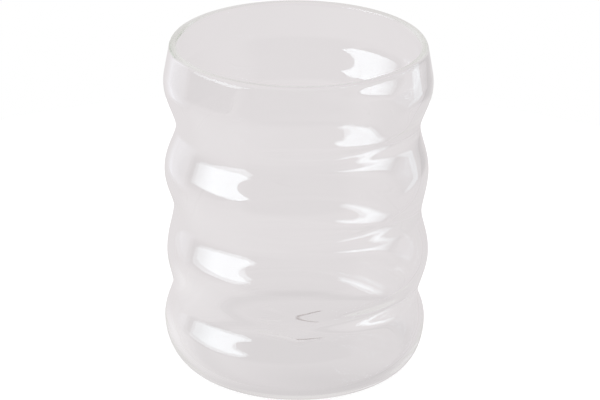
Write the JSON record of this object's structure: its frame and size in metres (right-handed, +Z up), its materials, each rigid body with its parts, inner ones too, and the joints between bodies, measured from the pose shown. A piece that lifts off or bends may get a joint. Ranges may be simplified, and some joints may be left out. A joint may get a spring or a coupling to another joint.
{
  "type": "rippled drinking glass",
  "caption": "Clear thin-walled tumbler whose wall swells into stacked soft ripples, with a fire-polished lip and a flat foot, for drinks",
  "frame": {"origin": "Middle of the foot, in the plane of the table that the glass stands on", "axes": "+Z runs up the axis of the glass to the lip; X and Y are alike, since the glass is round; -Y faces the viewer of the picture"},
  "size_m": [0.08, 0.08, 0.1014],
  "materials": {
    "clear_glass": "clear, fire-polished"
  },
  "bodies": {
    "root": {"lip": "clear_glass", "top_ripple": "clear_glass", "upper_ripple": "clear_glass", "lower_ripple": "clear_glass", "base_ripple": "clear_glass", "floor_disc": "clear_glass"}
  },
  "joints": []
}
